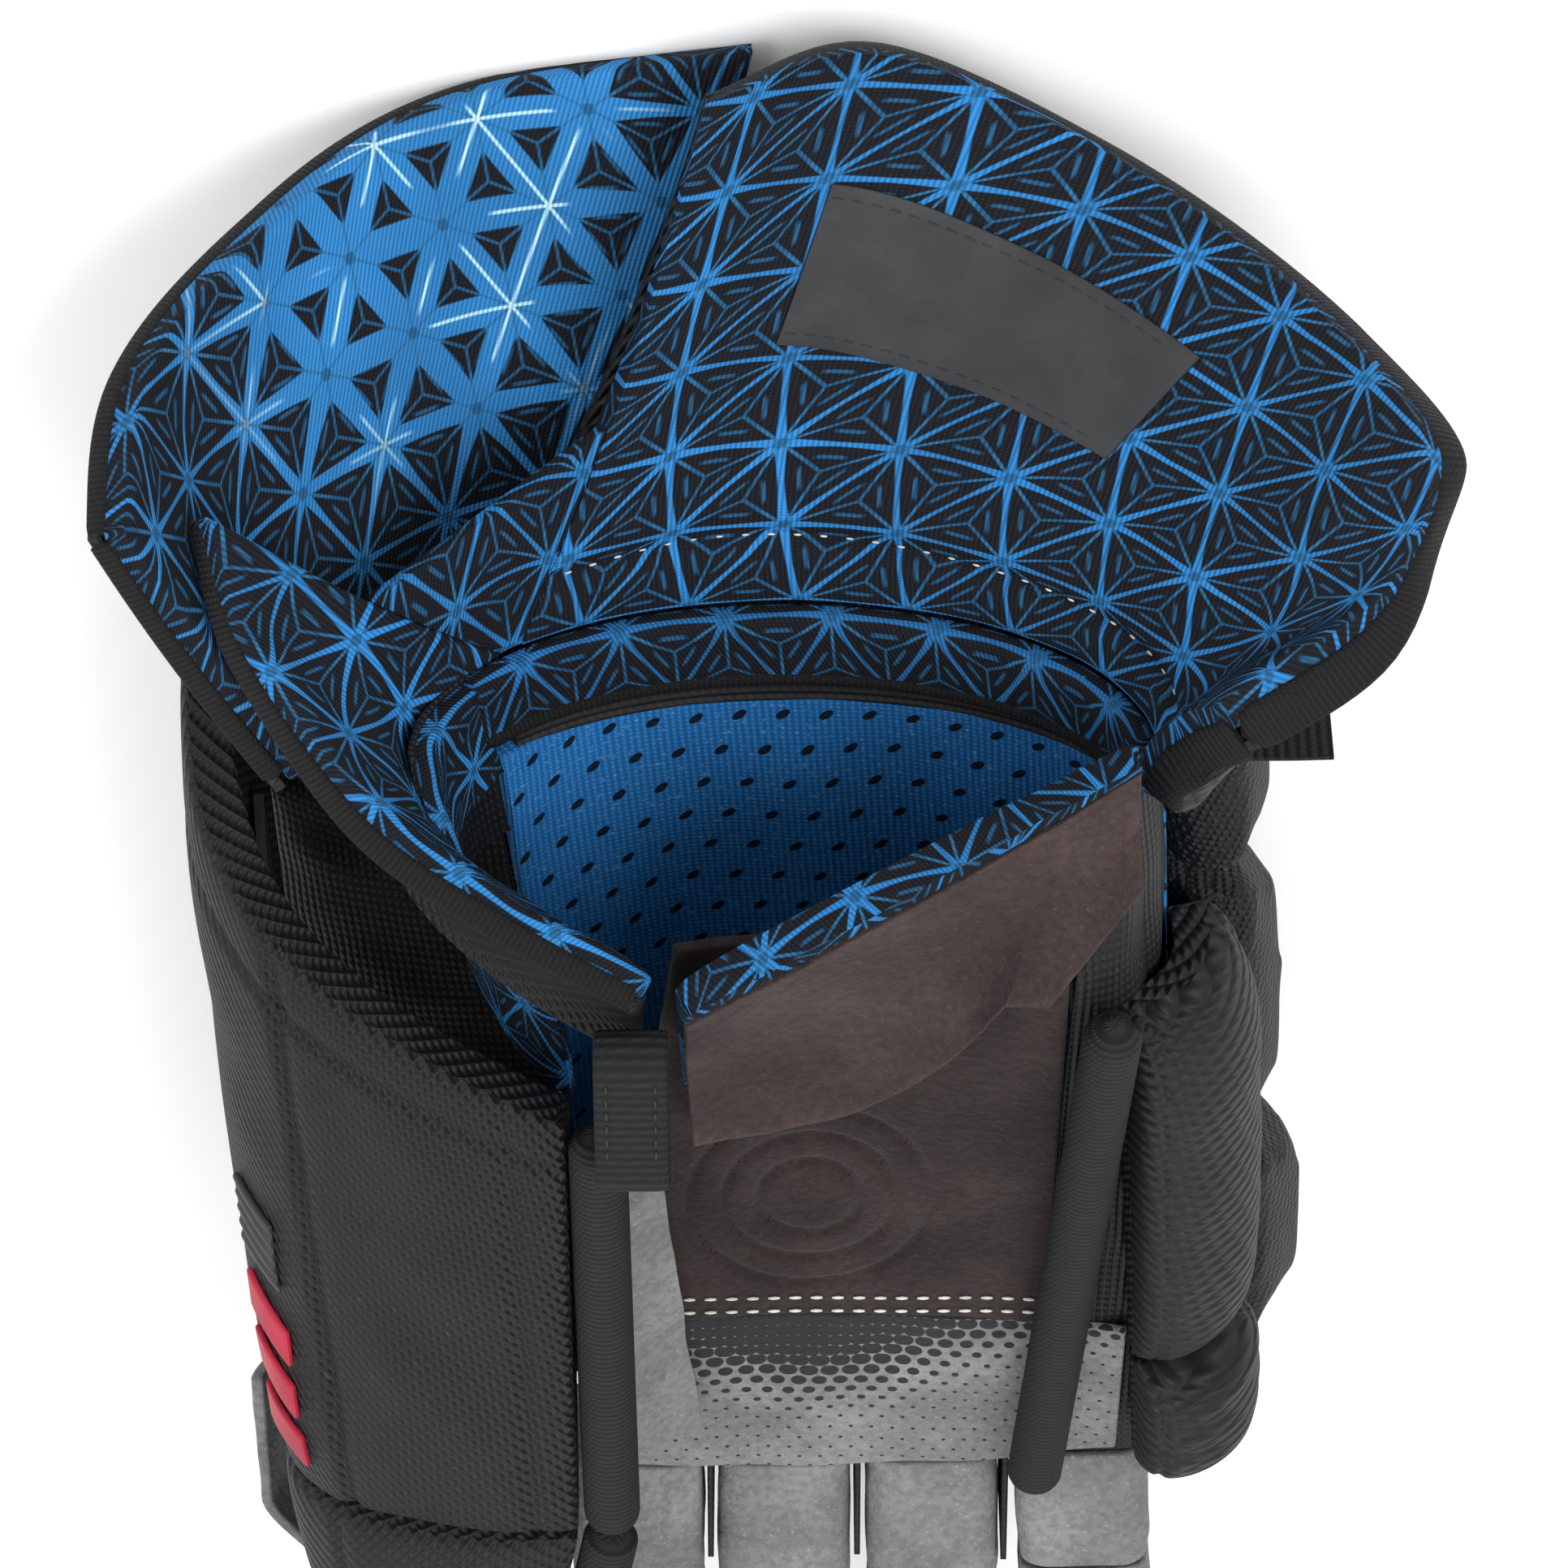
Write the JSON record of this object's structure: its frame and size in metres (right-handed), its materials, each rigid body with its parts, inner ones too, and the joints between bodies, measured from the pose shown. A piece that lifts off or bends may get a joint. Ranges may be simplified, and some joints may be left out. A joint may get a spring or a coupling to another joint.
{
  "type": "ice hockey glove",
  "caption": "Padded ice hockey glove for the right hand with jointed fingers and thumb, a flared lined cuff, a suede palm and segmented backhand rolls.",
  "frame": {"origin": "centre of the footprint, on the plane that the glove lies on with its back down", "axes": "+Y from the cuff to the fingertips, +X to the thumb side, +Z out of the palm"},
  "size_m": [0.1964, 0.3586, 0.1092],
  "materials": {
    "mesh": "black woven ballistic mesh",
    "soft_mesh": "soft black knit",
    "liner": "printed blue and black knit lining",
    "lining": "blue perforated mesh",
    "suede": "grey synthetic suede",
    "brown_suede": "dark brown synthetic suede",
    "plastic": "hidden stiffener",
    "webbing": "black ribbed webbing",
    "red": "raised red rubber",
    "label": "charcoal rubberised patch"
  },
  "bodies": {
    "hand": {"backhand_wrist_roll": "mesh", "backhand_wrist_plate": "plastic", "backhand_upper_roll": "mesh", "backhand_upper_plate": "plastic", "backhand_knuckle_roll": "mesh", "backhand_knuckle_plate": "plastic", "back_lining": "lining", "wrist_elastic": "webbing", "palm_heel_patch": "brown_suede", "palm_panel": "suede", "side_guard_upper": "mesh", "side_guard_lower": "mesh", "side_piping": "webbing", "thumb_web": "soft_mesh", "thumb_hinge_gusset": "soft_mesh", "fabric_tag": "webbing"},
    "index_segment_1": {"index_sleeve_1": "suede", "index_pad_1": "mesh"},
    "index_segment_2": {"index_sleeve_2": "suede", "index_pad_2": "mesh"},
    "index_segment_3": {"index_sleeve_3": "suede", "index_pad_3": "mesh"},
    "middle_segment_1": {"middle_sleeve_1": "suede", "middle_pad_1": "mesh"},
    "middle_segment_2": {"middle_sleeve_2": "suede", "middle_pad_2": "mesh"},
    "middle_segment_3": {"middle_sleeve_3": "suede", "middle_pad_3": "mesh"},
    "ring_segment_1": {"ring_sleeve_1": "suede", "ring_pad_1": "mesh"},
    "ring_segment_2": {"ring_sleeve_2": "suede", "ring_pad_2": "mesh"},
    "ring_segment_3": {"ring_sleeve_3": "suede", "ring_pad_3": "mesh"},
    "little_segment_1": {"little_sleeve_1": "suede", "little_pad_1": "mesh"},
    "little_segment_2": {"little_sleeve_2": "suede", "little_pad_2": "mesh"},
    "little_segment_3": {"little_sleeve_3": "suede", "little_pad_3": "mesh"},
    "thumb_base": {"thumb_guard_base": "mesh", "thumb_guard_plate": "plastic", "thumb_emblem_grey": "label", "thumb_emblem_red": "red", "thumb_piping": "webbing", "thumb_gusset": "suede"},
    "thumb_tip": {"thumb_guard_tip": "mesh", "thumb_stall_tip": "suede"},
    "cuff_back": {"cuff_back_liner": "liner", "cuff_back_plate": "plastic", "cuff_back_cover": "mesh", "cuff_label": "label"},
    "cuff_thumb": {"cuff_thumb_liner": "liner", "cuff_thumb_cover": "mesh"},
    "cuff_wing": {"cuff_wing_liner": "liner", "cuff_wing_cover": "mesh"},
    "palm_tab": {"palm_tab_liner": "liner", "palm_tab_suede": "brown_suede"},
    "pull_loop": {"pull_loop": "webbing"}
  },
  "joints": [
    {"name": "index_knuckle", "type": "hinge", "parent": "hand", "child": "index_segment_1", "pos_m": [0.02294, 0.07807, 0.05944], "axis": [1, 0, 0], "range_deg": [-8, 50]},
    {"name": "index_middle_joint", "type": "hinge", "parent": "index_segment_1", "child": "index_segment_2", "pos_m": [0.02294, 0.10671, 0.06398], "axis": [1, 0, 0], "range_deg": [-12, 60]},
    {"name": "index_end_joint", "type": "hinge", "parent": "index_segment_2", "child": "index_segment_3", "pos_m": [0.02294, 0.13064, 0.07414], "axis": [1, 0, 0], "range_deg": [-8.04, 40.2]},
    {"name": "middle_knuckle", "type": "hinge", "parent": "hand", "child": "middle_segment_1", "pos_m": [-0.00156, 0.07857, 0.05848], "axis": [1, 0, 0], "range_deg": [-8, 50]},
    {"name": "middle_middle_joint", "type": "hinge", "parent": "middle_segment_1", "child": "middle_segment_2", "pos_m": [-0.00156, 0.10919, 0.06333], "axis": [1, 0, 0], "range_deg": [-12, 60]},
    {"name": "middle_end_joint", "type": "hinge", "parent": "middle_segment_2", "child": "middle_segment_3", "pos_m": [-0.00156, 0.13312, 0.07349], "axis": [1, 0, 0], "range_deg": [-8.04, 40.2]},
    {"name": "ring_knuckle", "type": "hinge", "parent": "hand", "child": "ring_segment_1", "pos_m": [-0.02606, 0.07747, 0.05889], "axis": [0.9998, 0.0174, 0], "range_deg": [-8, 50]},
    {"name": "ring_middle_joint", "type": "hinge", "parent": "ring_segment_1", "child": "ring_segment_2", "pos_m": [-0.02656, 0.10611, 0.06342], "axis": [0.9998, 0.0174, 0], "range_deg": [-12, 60]},
    {"name": "ring_end_joint", "type": "hinge", "parent": "ring_segment_2", "child": "ring_segment_3", "pos_m": [-0.02698, 0.13004, 0.07358], "axis": [0.9998, 0.0174, 0], "range_deg": [-8.04, 40.2]},
    {"name": "little_knuckle", "type": "hinge", "parent": "hand", "child": "little_segment_1", "pos_m": [-0.05056, 0.07317, 0.06111], "axis": [0.9986, 0.0523, 0], "range_deg": [-5, 50]},
    {"name": "little_middle_joint", "type": "hinge", "parent": "little_segment_1", "child": "little_segment_2", "pos_m": [-0.0518, 0.09684, 0.06486], "axis": [0.9986, 0.0523, 0], "range_deg": [-12, 60]},
    {"name": "little_end_joint", "type": "hinge", "parent": "little_segment_2", "child": "little_segment_3", "pos_m": [-0.05281, 0.11614, 0.07307], "axis": [0.9986, 0.0523, 0], "range_deg": [-8.04, 40.2]},
    {"name": "thumb_base_hinge", "type": "hinge", "parent": "hand", "child": "thumb_base", "pos_m": [0.08644, -0.02173, 0.033], "axis": [0, 1, 0], "range_deg": [0, 20]},
    {"name": "thumb_tip_hinge", "type": "hinge", "parent": "thumb_base", "child": "thumb_tip", "pos_m": [0.05844, 0.06027, 0.044], "axis": [-1, 0, 0], "range_deg": [0, 40]},
    {"name": "cuff_back_hinge", "type": "hinge", "parent": "hand", "child": "cuff_back", "pos_m": [-0.00156, -0.09873, 0.022], "axis": [-1, 0, 0], "range_deg": [-6, 0]},
    {"name": "cuff_thumb_hinge", "type": "hinge", "parent": "hand", "child": "cuff_thumb", "pos_m": [-0.00156, -0.09873, 0.022], "axis": [-1, 0, 0], "range_deg": [-6, 0]},
    {"name": "cuff_wing_hinge", "type": "hinge", "parent": "hand", "child": "cuff_wing", "pos_m": [0.03244, -0.07373, 0.076], "axis": [-0.246, 0.769, 0.59], "range_deg": [-8, 0]},
    {"name": "palm_tab_hinge", "type": "hinge", "parent": "hand", "child": "palm_tab", "pos_m": [-0.01956, -0.05073, 0.093], "axis": [0.7763, 0.6233, 0.094], "range_deg": [-30, 0]},
    {"name": "pull_loop_hinge", "type": "hinge", "parent": "hand", "child": "pull_loop", "pos_m": [0.02044, -0.03673, 0.1045], "axis": [-1, 0, 0], "range_deg": [0, 45]}
  ],
  "couplings": [
    {"joint": "index_end_joint", "follows": "index_middle_joint", "ratio": 0.67},
    {"joint": "middle_end_joint", "follows": "middle_middle_joint", "ratio": 0.67},
    {"joint": "ring_end_joint", "follows": "ring_middle_joint", "ratio": 0.67},
    {"joint": "little_end_joint", "follows": "little_middle_joint", "ratio": 0.67},
    {"joint": "cuff_thumb_hinge", "follows": "cuff_back_hinge", "ratio": 1}
  ]
}
